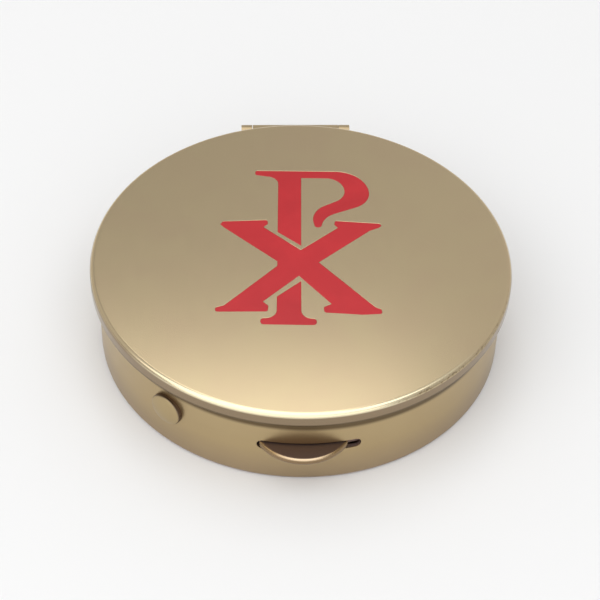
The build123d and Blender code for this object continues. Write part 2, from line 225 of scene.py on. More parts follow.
def draw(name, points):
    """Draw a line of edges by extruding one vertex from point to point; it stays in edit mode."""
    bpy.ops.object.select_all(action="DESELECT")
    bpy.ops.mesh.primitive_plane_add(size=MM)
    piece = named(name)
    bpy.ops.object.mode_set(mode="EDIT")
    bpy.ops.mesh.select_mode(type="VERT")
    bpy.ops.mesh.select_all(action="SELECT")
    bpy.ops.mesh.merge(type="CENTER")
    bpy.ops.transform.translate(value=points[0])
    for here, there in zip(points, points[1:]):
        bpy.ops.mesh.extrude_region_move(TRANSFORM_OT_translate={"value": there - here})
    return piece


def turn(name, outline, axis=UP, centre=ORIGIN, out=RIGHT, steps=TURN_STEPS):
    """Turn an outline of (radius, height, corner round) about an axis."""
    points = [centre + out * radius + axis * height for radius, height, _ in outline]
    piece = draw(name, points)
    for point, (_, _, size) in zip(points, outline):
        if size:
            select(piece, "VERT", lambda vertex: near(vertex.co, point))
            bpy.ops.mesh.bevel(affect="VERTICES", offset=size, segments=CORNER_SEGMENTS)
    bpy.ops.mesh.select_all(action="SELECT")
    bpy.ops.mesh.spin(steps=steps, angle=math.tau, center=centre, axis=axis)
    close(piece)
    edit(piece)
    bpy.ops.mesh.select_all(action="SELECT")
    bpy.ops.mesh.dissolve_limited(angle_limit=FLAT_ANGLE)
    bpy.ops.object.mode_set(mode="OBJECT")
    return piece


def bar(name, outline, x_start, x_end):
    """Fill an outline of (y, z) points and extrude it across the piece."""
    points = [Vector((x_start, y, z)) for y, z in outline]
    piece = draw(name, points)
    bpy.ops.mesh.select_all(action="SELECT")
    bpy.ops.mesh.edge_face_add()
    bpy.ops.mesh.extrude_region_move(TRANSFORM_OT_translate={"value": (x_end - x_start, 0, 0)})
    return close(piece)


def band(name, inner, outer, low, high, half_width):
    """Sweep an upright rectangle round the middle to make a curved strap at the front."""
    half_angle = math.asin(half_width / outer)
    start = Vector((math.sin(-half_angle), -math.cos(half_angle), 0))
    corners = ((inner, low), (outer, low), (outer, high), (inner, high))
    piece = draw(name, [start * radius + UP * height for radius, height in corners])
    bpy.ops.mesh.select_all(action="SELECT")
    bpy.ops.mesh.edge_face_add()
    bpy.ops.mesh.spin(steps=BAND_STEPS, angle=-2 * half_angle, center=ORIGIN, axis=UP)
    return close(piece)


def rod(name, radius, start, end, sides=ROD_SIDES):
    """Round rod from one point to another."""
    along = end - start
    bpy.ops.object.select_all(action="DESELECT")
    bpy.ops.mesh.primitive_cylinder_add(
        vertices=sides,
        radius=radius,
        depth=along.length,
        location=(start + end) / 2,
        rotation=along.to_track_quat("Z", "Y").to_euler(),
    )
    bpy.ops.object.transform_apply(location=True, rotation=True, scale=True)
    return named(name)


def apply(piece, modifier):
    bpy.ops.object.select_all(action="DESELECT")
    piece.select_set(True)
    bpy.context.view_layer.objects.active = piece
    bpy.ops.object.modifier_apply(modifier=modifier.name)


def combine(piece, other, operation):
    """Cut, join or cross a piece with another one, which is used up."""
    boolean = piece.modifiers.new("combine", "BOOLEAN")
    boolean.object = other
    boolean.operation = operation
    boolean.solver = "EXACT"
    apply(piece, boolean)
    bpy.data.objects.remove(other)
    return piece


def soften(piece, size, segments=EDGE_SEGMENTS):
    """Round every sharp edge a little."""
    bevel = piece.modifiers.new("soften", "BEVEL")
    bevel.width = size
    bevel.segments = segments
    bevel.limit_method = "ANGLE"
    bevel.angle_limit = SMOOTH_ANGLE
    apply(piece, bevel)
    return piece


def copy_of(node, name):
    """Copy a CAD node's mesh with its triangles merged into clean faces."""
    piece = bpy.data.objects.new(name, frame["nodes"][node].data.copy())
    piece.data.name = name
    bpy.context.scene.collection.objects.link(piece)
    edit(piece)
    bpy.ops.mesh.select_all(action="SELECT")
    bpy.ops.mesh.remove_doubles(threshold=MERGE_DISTANCE)
    bpy.ops.mesh.dissolve_limited(angle_limit=FLAT_ANGLE)
    bpy.ops.object.mode_set(mode="OBJECT")
    return piece


def hand_over(piece, node, rides=True, finish=None):
    """Give a finished piece its finish and its body, and hide the CAD node that it stands for."""
    bpy.ops.object.select_all(action="DESELECT")
    piece.select_set(True)
    bpy.context.view_layer.objects.active = piece
    bpy.ops.object.shade_smooth_by_angle(angle=SMOOTH_ANGLE)
    weighted = piece.modifiers.new("weighted_normals", "WEIGHTED_NORMAL")
    weighted.keep_sharp = True
    apply(piece, weighted)
    piece.data.materials.clear()
    piece.data.materials.append(finish or FINISHES[SLOTS[node]])
    if rides:
        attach(piece, BODIES[node])
    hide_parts(node)


# Pieces of the lid

def top_corner(edge):
    """True for the sharp edges on the lid's top face, inside the emblem's reach."""
    flat = all(abs(vertex.co.z - LID_TOP) < MERGE_DISTANCE for vertex in edge.verts)
    inside = all(vertex.co.xy.length < EMBLEM_REACH for vertex in edge.verts)
    return flat and inside and edge.calc_face_angle(0) > SMOOTH_ANGLE


def round_top_edges(piece, size):
    edit(piece)
    select(piece, "EDGE", top_corner)
    bpy.ops.mesh.bevel(affect="EDGES", offset=size, segments=EDGE_SEGMENTS)
    bpy.ops.object.mode_set(mode="OBJECT")


def make_enamel(node, name):
    enamel = copy_of(node, name)
    round_top_edges(enamel, ENAMEL_EDGE_ROUND)
    hand_over(enamel, node)


def make_lid():
    outline = (
        (0, LID_UNDERSIDE, 0),
        (LID_INNER_RADIUS, LID_UNDERSIDE, LID_INNER_ROUND),
        (LID_INNER_RADIUS, PARTING, SKIRT_ROUND),
        (LID_RADIUS, PARTING, SKIRT_ROUND),
        (LID_RADIUS, LID_TOP, LID_EDGE_ROUND),
        (0, LID_TOP, 0),
    )
    lid = turn("lid_cover", outline)
    for node in ("enamel_chi", "enamel_rho_head", "enamel_rho_foot"):
        cutter = copy_of(node, "recess_cutter")
        edit(cutter)
        select(cutter, "VERT", lambda vertex: vertex.co.z > LID_TOP - MERGE_DISTANCE)
        bpy.ops.transform.translate(value=(0, 0, OVERSHOOT))
        bpy.ops.object.mode_set(mode="OBJECT")
        combine(lid, cutter, "DIFFERENCE")
    round_top_edges(lid, RECESS_EDGE_ROUND)
    hand_over(lid, "lid_shell")


def make_striker():
    striker = soften(copy_of("lid_striker", "striker_strap"), STRIP_EDGE_ROUND)
    hand_over(striker, "lid_striker")


# Pieces of the base

def make_cup():
    outline = (
        (0, 0, 0),
        (BASE_RADIUS, 0, FOOT_ROUND),
        (BASE_RADIUS, LID_UNDERSIDE, RIM_ROUND),
        (BASE_INNER_RADIUS, LID_UNDERSIDE, RIM_ROUND),
        (BASE_INNER_RADIUS, SHEET, CUP_INNER_ROUND),
        (0, SHEET, 0),
    )
    cup = turn("drawn_cup", outline)
    straight = SLOT_LENGTH - SLOT_HEIGHT
    left = SLOT_OFFSET - straight / 2
    front = Vector((left, -BASE_RADIUS - OVERSHOOT, CATCH_HEIGHT))
    back = Vector((left, -BASE_INNER_RADIUS + 2 * OVERSHOOT, CATCH_HEIGHT))
    slot = rod("slot_cutter", SLOT_HEIGHT / 2, front, back)
    edit(slot)
    select(slot, "VERT", lambda vertex: vertex.co.x > left + MERGE_DISTANCE)
    bpy.ops.transform.translate(value=(straight, 0, 0))
    bpy.ops.object.mode_set(mode="OBJECT")
    combine(cup, slot, "DIFFERENCE")
    middle = UP * RIVET_HEIGHT
    hole = rod("hole_cutter", RIVET_SHANK, middle, middle + RIVET_OUT * (BASE_RADIUS + OVERSHOOT))
    combine(cup, hole, "DIFFERENCE")
    soften(cup, SLOT_EDGE_ROUND)
    hand_over(cup, "base_cup")


def make_well():
    floor = SHEET
    outside = WELL_RADIUS + LINER_SHEET
    under_flange = LINER_TOP - LINER_SHEET
    outline = (
        (0, floor, 0),
        (outside, floor, WELL_FLOOR_ROUND + LINER_SHEET),
        (outside, under_flange, LINER_SHEET / 2),
        (FLANGE_RADIUS, under_flange, FLANGE_EDGE_ROUND),
        (FLANGE_RADIUS, LINER_TOP, FLANGE_EDGE_ROUND),
        (WELL_RADIUS, LINER_TOP, WELL_MOUTH_ROUND),
        (WELL_RADIUS, floor + LINER_SHEET, WELL_FLOOR_ROUND),
        (0, floor + LINER_SHEET, 0),
    )
    well = turn("gilt_well", outline)
    low = under_flange - OVERSHOOT
    notch = band("notch_cutter", NOTCH_RADIUS, BASE_RADIUS, low, LINER_TOP + OVERSHOOT, NOTCH_HALF_WIDTH)
    combine(well, notch, "DIFFERENCE")
    hand_over(well, "host_liner")


def make_rivet():
    outline = (
        (0, RIVET_TAIL_FROM, 0),
        (RIVET_TAIL_RADIUS, RIVET_TAIL_FROM, RIVET_EDGE_ROUND),
        (RIVET_TAIL_RADIUS, RIVET_TAIL_TO, 0),
        (RIVET_SHANK, RIVET_TAIL_TO, 0),
        (RIVET_SHANK, BASE_INNER_RADIUS + SHEET / 2, 0),
        (RIVET_HEAD_RADIUS, BASE_INNER_RADIUS + SHEET / 2, 0),
        (RIVET_HEAD_RADIUS, RIVET_SIDE, RIVET_EDGE_ROUND),
    )
    # The crown leaves out its first step inward, which the rounded edge takes up
    steps = [1 - step / RIVET_CROWN_STEPS for step in range(2, RIVET_CROWN_STEPS + 1)]
    crown = tuple((RIVET_HEAD_RADIUS * part, RIVET_HEAD_TOP - RIVET_CROWN * part**2, 0) for part in steps)
    centre = UP * RIVET_HEIGHT
    rivet = turn("anchor_rivet", outline + crown, axis=RIVET_OUT, centre=centre, out=UP, steps=RIVET_STEPS)
    hand_over(rivet, "catch_rivet", finish=RIVET_FINISH)


def make_spring():
    spring = soften(copy_of("catch_spring", "leaf_spring"), STRIP_EDGE_ROUND)
    hand_over(spring, "catch_spring", rides=False)
    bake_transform(spring)


# Thumb catch

def make_thumb_catch():
    low = CATCH_HEIGHT - THUMB_THICK / 2
    high = THUMB_HIGH.z
    centre = Vector((THUMB_OFFSET, THUMB_LOW.y + THUMB_RADIUS, 0))
    catch = rod("half_moon_catch", THUMB_RADIUS, centre + UP * low, centre + UP * high, sides=THUMB_SIDES)
    soften(catch, THUMB_EDGE_ROUND, THUMB_EDGE_SEGMENTS)
    neck = bar(
        "neck_limits",
        (
            (THUMB_LOW.y - OVERSHOOT, low - OVERSHOOT),
            (-CATCH_INSIDE / 2, low - OVERSHOOT),
            (-CATCH_INSIDE / 2, high + OVERSHOOT),
            (THUMB_LOW.y - OVERSHOOT, high + OVERSHOOT),
        ),
        THUMB_OFFSET - THUMB_NECK / 2,
        THUMB_OFFSET + THUMB_NECK / 2,
    )
    combine(catch, neck, "INTERSECT")
    combine(catch, wall_cylinder((CATCH_INSIDE + SHOULDER_OUTSIDE) / 2), "DIFFERENCE")
    bottom, top = low + JOIN_STEP, high - JOIN_STEP
    shoulders = band("shoulders", CATCH_INSIDE, SHOULDER_OUTSIDE, bottom, top, SHOULDER_HALF_WIDTH)
    combine(catch, shoulders, "UNION")
    inside, outside = CATCH_INSIDE + JOIN_STEP, CATCH_INSIDE + FLANGE_THICK
    flange = band("flange", inside, outside, THUMB_LOW.z, CATCH_HEIGHT, FLANGE_HALF_WIDTH)
    combine(catch, flange, "UNION")
    hand_over(catch, "thumb_catch")


def make_thumb_rivets():
    rivets = soften(copy_of("thumb_rivets", "flange_rivets"), STRIP_EDGE_ROUND)
    hand_over(rivets, "thumb_rivets")


# Hinge

def knuckle(name, radius, x_start, x_end):
    return rod(name, radius, Vector((x_start, HINGE.y, HINGE.z)), Vector((x_end, HINGE.y, HINGE.z)))


def lug_outline():
    """Ear from the base leaf up to the pin, with its back face tangent to the knuckle."""
    rise = HINGE.z - BASE_LEAF_MIDDLE
    run = HINGE.y - LEAF_BACK
    distance = math.hypot(run, rise)
    slope = math.atan2(rise, run) - math.asin(KNUCKLE_RADIUS / distance)
    length = math.sqrt(distance**2 - KNUCKLE_RADIUS**2)
    inside = BASE_RADIUS - LEAF_BITE
    return (
        (inside, BASE_LEAF_MIDDLE),
        (LEAF_BACK, BASE_LEAF_MIDDLE),
        (LEAF_BACK + length * math.cos(slope), BASE_LEAF_MIDDLE + length * math.sin(slope)),
        (HINGE.y, HINGE.z),
        (inside, HINGE.z),
    )


def wall_cylinder(radius):
    """Upright cutter with the radius of a round wall."""
    return rod("wall_cutter", radius, ORIGIN - UP * OVERSHOOT, UP * (LID_TOP + OVERSHOOT), sides=TURN_STEPS)


def make_base_leaf():
    inside = BASE_RADIUS - LEAF_BITE
    plate_outline = (
        (inside, BASE_LEAF_LOW),
        (BASE_RADIUS + BASE_LEAF_TOE, BASE_LEAF_LOW),
        (LEAF_BACK, BASE_LEAF_MIDDLE),
        (LEAF_BACK, BASE_LEAF_TOP),
        (inside, BASE_LEAF_TOP),
    )
    leaf = bar("lower_hinge_leaf", plate_outline, -HINGE_HALF, HINGE_HALF)
    edit(leaf)

    def bottom_corner(edge):
        middle = (edge.verts[0].co + edge.verts[1].co) / 2
        low = abs(middle.z - BASE_LEAF_LOW) < MERGE_DISTANCE
        return low and abs(abs(middle.x) - HINGE_HALF) < MERGE_DISTANCE

    select(leaf, "EDGE", bottom_corner)
    bpy.ops.mesh.bevel(affect="EDGES", offset=BASE_LEAF_CORNER, segments=LEAF_CORNER_SEGMENTS)
    bpy.ops.object.mode_set(mode="OBJECT")
    for start in (-HINGE_HALF, HINGE_HALF - END_KNUCKLE):
        end = start + END_KNUCKLE
        combine(leaf, bar("lug", lug_outline(), start, end), "UNION")
        combine(leaf, knuckle("end_knuckle", KNUCKLE_RADIUS, start, end), "UNION")
    bore = knuckle("bore", PIN_RADIUS + PIN_GAP, -HINGE_HALF - OVERSHOOT, HINGE_HALF + OVERSHOOT)
    combine(leaf, bore, "DIFFERENCE")
    combine(leaf, wall_cylinder(BASE_RADIUS), "DIFFERENCE")
    soften(leaf, HINGE_EDGE_ROUND)
    hand_over(leaf, "base_hinge_leaf")


def make_lid_leaf():
    half = LID_LEAF_HIGH.x
    inside = LID_RADIUS - LEAF_BITE
    top = LID_LEAF_HIGH.z
    plate_outline = (
        (inside, HINGE.z),
        (LEAF_BACK, HINGE.z),
        (LEAF_BACK, top),
        (inside, top),
    )
    leaf = bar("upper_hinge_leaf", plate_outline, -half, half)
    combine(leaf, knuckle("middle_knuckle", KNUCKLE_RADIUS, -half, half), "UNION")
    bore = knuckle("bore", PIN_RADIUS + PIN_GAP, -half - OVERSHOOT, half + OVERSHOOT)
    combine(leaf, bore, "DIFFERENCE")
    combine(leaf, wall_cylinder(LID_RADIUS), "DIFFERENCE")
    soften(leaf, HINGE_EDGE_ROUND)
    hand_over(leaf, "lid_hinge_leaf")


def make_pin():
    pin = knuckle("hinge_rod", PIN_RADIUS, -HINGE_HALF, HINGE_HALF)
    soften(pin, PIN_END_ROUND)
    hand_over(pin, "hinge_pin")


# Finishes

def add_node(tree, kind, inputs, **settings):
    """Add a shader node; an input is a plain value or a socket to link."""
    made = tree.nodes.new(kind)
    for name, value in settings.items():
        setattr(made, name, value)
    for name, value in inputs.items():
        if isinstance(value, bpy.types.NodeSocket):
            tree.links.new(value, made.inputs[name])
        else:
            made.inputs[name].default_value = value
    return made


def new_group(name, inputs, outputs):
    """Empty shader node group with named sockets."""
    group = bpy.data.node_groups.new(name, "ShaderNodeTree")
    for socket, kind in inputs.items():
        group.interface.new_socket(socket, in_out="INPUT", socket_type=kind)
    for socket, kind in outputs.items():
        group.interface.new_socket(socket, in_out="OUTPUT", socket_type=kind)
    return group, group.nodes.new("NodeGroupInput").outputs


def flattened(tree, place):
    """Place with its height taken out."""
    return add_node(tree, "ShaderNodeVectorMath", {0: place, 1: IN_PLAN}, operation="MULTIPLY").outputs[0]


def brushed_lines():
    """Fine straight lines: noise drawn out along one axis by the Stretch input."""
    inputs = {"Vector": "NodeSocketVector", "Stretch": "NodeSocketVector"}
    group, given = new_group("brushed_lines", inputs, {"Lines": "NodeSocketFloat"})
    factors = {0: given["Vector"], 1: given["Stretch"]}
    drawn = add_node(group, "ShaderNodeVectorMath", factors, operation="MULTIPLY")
    grain = {"Vector": drawn.outputs[0], "Scale": 1.0, "Detail": 3.0, "Roughness": 0.6}
    noise = add_node(group, "ShaderNodeTexNoise", grain)
    add_node(group, "NodeGroupOutput", {"Lines": noise.outputs[0]})
    return group


def turned_lines():
    """Fine rings round the middle, as a lathe or a polishing wheel leaves them."""
    inputs = {"Vector": "NodeSocketVector", "Rings per metre": "NodeSocketFloat"}
    group, given = new_group("turned_lines", inputs, {"Lines": "NodeSocketFloat"})
    plan = flattened(group, given["Vector"])
    radius = add_node(group, "ShaderNodeVectorMath", {0: plan}, operation="LENGTH")
    round_the_middle = add_node(group, "ShaderNodeVectorMath", {0: plan}, operation="NORMALIZE")
    height = add_node(group, "ShaderNodeSeparateXYZ", {0: given["Vector"]})
    lengths = {0: radius.outputs["Value"], 1: height.outputs["Z"]}
    along = add_node(group, "ShaderNodeMath", lengths, operation="ADD")
    factors = {0: along.outputs[0], 1: given["Rings per metre"]}
    ring = add_node(group, "ShaderNodeMath", factors, operation="MULTIPLY")
    noise = add_node(
        group,
        "ShaderNodeTexNoise",
        {"Vector": round_the_middle.outputs[0], "W": ring.outputs[0], "Scale": 1.6, "Detail": 2.0},
        noise_dimensions="4D",
    )
    add_node(group, "NodeGroupOutput", {"Lines": noise.outputs[0]})
    return group


def handling():
    """Cloudy smudges from fingers and cloths, and tiny nicks."""
    inputs = {"Vector": "NodeSocketVector"}
    outputs = {"Smudge": "NodeSocketFloat", "Nicks": "NodeSocketFloat"}
    group, given = new_group("handling", inputs, outputs)
    place = given["Vector"]
    clouds = {"Vector": place, "Scale": 130.0, "Detail": 3.0, "Distortion": 0.6}
    cloud = add_node(group, "ShaderNodeTexNoise", clouds)
    limits = {"Value": cloud.outputs[0], "From Min": 0.35, "From Max": 0.7}
    smudge = add_node(group, "ShaderNodeMapRange", limits)
    grain = add_node(group, "ShaderNodeTexNoise", {"Vector": place, "Scale": 2600.0, "Detail": 1.0})
    limits = {"Value": grain.outputs[0], "From Min": 0.55, "From Max": 0.63}
    nicks = add_node(group, "ShaderNodeMapRange", limits)
    add_node(group, "NodeGroupOutput", {"Smudge": smudge.outputs[0], "Nicks": nicks.outputs[0]})
    return group


def soft_step():
    """Step of a value from one limit to another: Above rises and Below falls."""
    inputs = {"Value": "NodeSocketFloat", "Low": "NodeSocketFloat", "High": "NodeSocketFloat"}
    outputs = {"Above": "NodeSocketFloat", "Below": "NodeSocketFloat"}
    group, given = new_group("soft_step", inputs, outputs)
    limits = {"Value": given["Value"], "From Min": given["Low"], "From Max": given["High"]}
    above = add_node(group, "ShaderNodeMapRange", limits)
    below = add_node(group, "ShaderNodeMath", {0: 1.0, 1: above.outputs[0]}, operation="SUBTRACT")
    add_node(group, "NodeGroupOutput", {"Above": above.outputs[0], "Below": below.outputs[0]})
    return group


GROUPS = {make.__name__: make() for make in (brushed_lines, turned_lines, handling, soft_step)}

# Sockets of the Mix node that share a name
MIX_FACTOR = 0
MIX_NUMBER_A, MIX_NUMBER_B, MIX_NUMBER_OUT = 2, 3, 0
MIX_COLOUR_A, MIX_COLOUR_B, MIX_COLOUR_OUT = 6, 7, 2


def placed(tree, name, inputs):
    """One of the shared groups, placed in a material."""
    return add_node(tree, "ShaderNodeGroup", inputs, node_tree=GROUPS[name])


def blended(tree, factor, tone, other_tone):
    """Colour between two tones."""
    inputs = {MIX_FACTOR: factor, MIX_COLOUR_A: (*tone, 1), MIX_COLOUR_B: (*other_tone, 1)}
    return add_node(tree, "ShaderNodeMix", inputs, data_type="RGBA").outputs[MIX_COLOUR_OUT]


def new_finish(name):
    """Empty material with a Principled shader, and its Object coordinates."""
    finish = bpy.data.materials.new(name)
    finish.use_nodes = True
    tree = finish.node_tree
    shader = tree.nodes["Principled BSDF"]
    place = tree.nodes.new("ShaderNodeTexCoord").outputs["Object"]
    return finish, tree, shader, place


def place_in(finish):
    """Object coordinates in a finish."""
    return finish.node_tree.nodes["Texture Coordinate"].outputs["Object"]


def metal(name, tones, roughness, lines, line_depth):
    """Metal whose colour clouds between two tones, with fine lines in its roughness and height."""
    finish, tree, shader, place = new_finish(name)
    shader.inputs["Metallic"].default_value = 1.0
    touched = placed(tree, "handling", {"Vector": place})
    line_group, line_settings = lines
    marks = placed(tree, line_group, {"Vector": place, **line_settings})
    tree.links.new(blended(tree, touched.outputs["Smudge"], *tones), shader.inputs["Base Color"])
    low, high = roughness
    limits = {"From Min": 0.25, "From Max": 0.75, "To Min": low, "To Max": high}
    rough = add_node(tree, "ShaderNodeMapRange", {"Value": marks.outputs["Lines"], **limits})
    tree.links.new(rough.outputs[0], shader.inputs["Roughness"])
    relief = {"Height": marks.outputs["Lines"], "Strength": 1.0, "Distance": line_depth}
    bump = add_node(tree, "ShaderNodeBump", relief)
    tree.links.new(bump.outputs[0], shader.inputs["Normal"])
    return finish


def tone_where(finish, mask, tone):
    """Lay another tone over a finish where a mask is 1."""
    tree = finish.node_tree
    colour = tree.nodes["Principled BSDF"].inputs["Base Color"]
    inputs = {MIX_FACTOR: mask, MIX_COLOUR_A: colour.links[0].from_socket, MIX_COLOUR_B: (*tone, 1)}
    mix = add_node(tree, "ShaderNodeMix", inputs, data_type="RGBA")
    tree.links.new(mix.outputs[MIX_COLOUR_OUT], colour)


def rough_where(finish, mask, roughness):
    """Make a finish duller or smoother where a mask is 1."""
    tree = finish.node_tree
    rough = tree.nodes["Principled BSDF"].inputs["Roughness"]
    inputs = {MIX_FACTOR: mask, MIX_NUMBER_A: rough.links[0].from_socket, MIX_NUMBER_B: roughness}
    mix = add_node(tree, "ShaderNodeMix", inputs, data_type="FLOAT")
    tree.links.new(mix.outputs[MIX_NUMBER_OUT], rough)


def faded(tree, distance, fade):
    """Masks Above and Below of a distance, over a fade from a low to a high limit."""
    low, high = fade
    return placed(tree, "soft_step", {"Value": distance, "Low": low, "High": high}).outputs


def zone(finish, along, fade):
    """Mask in a finish by the distance along a direction, with outputs Above and Below."""
    tree = finish.node_tree
    factors = {0: place_in(finish), 1: along}
    distance = add_node(tree, "ShaderNodeVectorMath", factors, operation="DOT_PRODUCT")
    return faded(tree, distance.outputs["Value"], fade)


def depth_zone(finish, fade):
    """Mask in a finish by the distance from the box's upright axis."""
    tree = finish.node_tree
    plan = flattened(tree, place_in(finish))
    radius = add_node(tree, "ShaderNodeVectorMath", {0: plan}, operation="LENGTH")
    return faded(tree, radius.outputs["Value"], fade)


def overlap(finish, first, second):
    """Mask that is 1 where two masks are."""
    product = add_node(finish.node_tree, "ShaderNodeMath", {0: first, 1: second}, operation="MULTIPLY")
    return product.outputs[0]


def nick_mask(finish):
    """Mask of small nicks."""
    return placed(finish.node_tree, "handling", {"Vector": place_in(finish)}).outputs["Nicks"]


# Fine lines of the metals, and their depth
RINGS = ("turned_lines", {"Rings per metre": 9000.0})
BRUSHING = ("brushed_lines", {"Stretch": (5200.0, 160.0, 160.0)})
FINE_DEPTH = 0.0001 * MM
PLAIN_DEPTH = 0.0002 * MM
ROLLED_DEPTH = 0.0004 * MM

# Tones and roughness of the plain finishes
HINGE_TONES = ((0.54, 0.42, 0.26), (0.51, 0.39, 0.23))
HINGE_ROUGHNESS = (0.34, 0.42)
SPRING_TONES = ((0.6, 0.42, 0.25), (0.54, 0.37, 0.21))
SPRING_ROUGHNESS = (0.25, 0.4)
GILT_TONES = ((0.95, 0.72, 0.31), (0.92, 0.68, 0.28))
GILT_ROUGHNESS = (0.14, 0.2)
ENAMEL_TONES = ((0.54, 0.016, 0.022), (0.47, 0.012, 0.018))
ENAMEL_ROUGHNESS = 0.22
ENAMEL_IOR = 1.52

# Finish of the lid
# The lid and the wall are one brass in two tones, lighter on the lid and darker on the wall, as painted light and
# shade
LID_TONES = ((0.70, 0.56, 0.345), (0.69, 0.54, 0.34))
LID_ROUGHNESS = (0.17, 0.2)
# Painted shade: the lid's skirt is darker than its top
SKIRT_SHADE_TONE = (0.3, 0.225, 0.145)
SKIRT_FADE = (LID_TOP - 0.65 * LID_EDGE_ROUND, LID_TOP - 0.25 * LID_EDGE_ROUND)
SKIRT_TOP = LID_TOP - LID_EDGE_ROUND
EDGE_FOOT_FADE = (SKIRT_TOP + 0.05 * MM, SKIRT_TOP + 0.25 * MM)
EDGE_HEAD_FADE = (LID_TOP - 0.03 * MM, LID_TOP - 0.005 * MM)
# Painted highlight: the lid's rounded edge is lighter in front
EDGE_HIGHLIGHT_TONE = (0.9, 0.79, 0.54)
EDGE_HIGHLIGHT_FADE = (0.58 * LID_RADIUS, 0.88 * LID_RADIUS)
# At the right, the edge has painted shade that dims its highlight, together with real wear: duller and nicked
WORN_AND_SHADED_TONE = (0.48, 0.38, 0.235)
WORN_ROUGHNESS = 0.35
WORN_AND_SHADED_RIGHT_FADE = (0.36 * LID_RADIUS, 0.5 * LID_RADIUS)
WORN_AND_SHADED_FRONT_FADE = (0, 0.5 * LID_RADIUS)
WORN_AND_SHADED_HEIGHT_FADE = (LID_TOP - 0.3 * MM, LID_TOP - 0.08 * MM)
NICK_TONE = (0.3, 0.22, 0.13)
# Painted shade: dark along the bottom of the lid's skirt, where lid meets base
LIP_SHADE_TONE = (0.1, 0.068, 0.035)
LIP_SHADE_FADE = (PARTING + 0.15 * MM, PARTING + 0.4 * MM)

# Finish of the wall, darker than the lid's as painted shade; the painted shade under the lid's lip has a lower
# limit that falls to the right
WALL_TONES = ((0.48, 0.365, 0.2), (0.465, 0.35, 0.19))
WALL_ROUGHNESS = (0.32, 0.37)
# Painted shade: the wall is greyer towards the foot
FOOT_SHADE_TONE = (0.4, 0.305, 0.2)
FOOT_FADE = (0, 5 * MM)
# Painted shade: a dark band on the wall under the lid's lip
WALL_SHADE_TONE = (0.15, 0.105, 0.055)
WALL_SHADE_UP = Vector((0.015, 0, 1))
WALL_SHADE_FOOT_FADE = (PARTING - 1.87 * MM, PARTING - 1.35 * MM)
WALL_SHADE_HEAD_FADE = (PARTING - 0.3 * MM, PARTING)
SLOT_DEPTH_FADE = (BASE_RADIUS - 0.2 * MM, BASE_RADIUS - 0.05 * MM)
SLOT_HEIGHT_FADE = (PARTING - 3 * MM, PARTING - 2 * MM)
# Painted shade: one dark purple-brown tone inside the slot, on the wall and on the catch
SLOT_SHADE_TONE = (0.34, 0.25, 0.22)
HIDDEN_ROUGHNESS = 0.6

# Finish of the thumb catch and of the anchor rivet
# Dark brown tone of the catch, partly its own colour and partly painted shade along its lower edge
CATCH_TONES = ((0.3, 0.205, 0.115), (0.28, 0.19, 0.105))
CATCH_ROUGHNESS = (0.24, 0.3)
RIM_TONE = (0.33, 0.215, 0.1)
RIM_FADE = (THUMB_HIGH.z - 0.26 * MM, THUMB_HIGH.z - 0.1 * MM)
# Painted highlight at the middle of the catch's rounded edge
RIM_HIGHLIGHT_TONE = (0.78, 0.6, 0.4)
RIM_HIGHLIGHT_FADE = (-THUMB_LOW.y - 1.3 * MM, -THUMB_LOW.y - 0.2 * MM)
# Painted dark reflection on the catch's flat top
PLATE_DARK_REFLECTION_TONE = (0.19, 0.13, 0.105)
PLATE_ROUGHNESS = 0.6
PLATE_FADE = (THUMB_HIGH.z - 0.045 * MM, THUMB_HIGH.z)
CATCH_HIDDEN_FADE = (SHOULDER_OUTSIDE, BASE_INNER_RADIUS)
RIVET_TONES = ((0.45, 0.345, 0.19), (0.44, 0.335, 0.18))
RIVET_ROUGHNESS = (0.36, 0.42)
# Painted shade round the side of the rivet's head, where it meets the wall
RIVET_SIDE_SHADE_TONE = (0.15, 0.105, 0.075)
RIVET_SIDE_SHADE_FADE = (RIVET_SIDE - 0.12 * MM, RIVET_SIDE + 0.04 * MM)


def enamel_finish():
    finish, tree, shader, place = new_finish("red_enamel")
    touched = placed(tree, "handling", {"Vector": place})
    colour = blended(tree, touched.outputs["Smudge"], *ENAMEL_TONES)
    tree.links.new(colour, shader.inputs["Base Color"])
    shader.inputs["Roughness"].default_value = ENAMEL_ROUGHNESS
    shader.inputs["IOR"].default_value = ENAMEL_IOR
    return finish


def lid_brass():
    """Brushed top; painted shade on the skirt and along the lip; a painted highlight on the edge in front; at the
    right, painted shade on the edge with real wear and nicks.
    """
    finish = metal("lid_brass", LID_TONES, LID_ROUGHNESS, BRUSHING, FINE_DEPTH)
    tone_where(finish, zone(finish, UP, SKIRT_FADE)["Below"], SKIRT_SHADE_TONE)
    edge_foot = zone(finish, UP, EDGE_FOOT_FADE)["Above"]
    edge_head = zone(finish, UP, EDGE_HEAD_FADE)["Below"]
    edge = overlap(finish, edge_foot, edge_head)
    front = zone(finish, FRONT, EDGE_HIGHLIGHT_FADE)["Above"]
    tone_where(finish, overlap(finish, edge, front), EDGE_HIGHLIGHT_TONE)
    right = zone(finish, RIGHT, WORN_AND_SHADED_RIGHT_FADE)["Above"]
    facing = overlap(finish, right, zone(finish, FRONT, WORN_AND_SHADED_FRONT_FADE)["Above"])
    worn_and_shaded = overlap(finish, overlap(finish, edge, facing), zone(finish, UP, WORN_AND_SHADED_HEIGHT_FADE)["Below"])
    tone_where(finish, worn_and_shaded, WORN_AND_SHADED_TONE)
    rough_where(finish, worn_and_shaded, WORN_ROUGHNESS)
    tone_where(finish, overlap(finish, worn_and_shaded, nick_mask(finish)), NICK_TONE)
    tone_where(finish, zone(finish, UP, LIP_SHADE_FADE)["Below"], LIP_SHADE_TONE)
    return finish


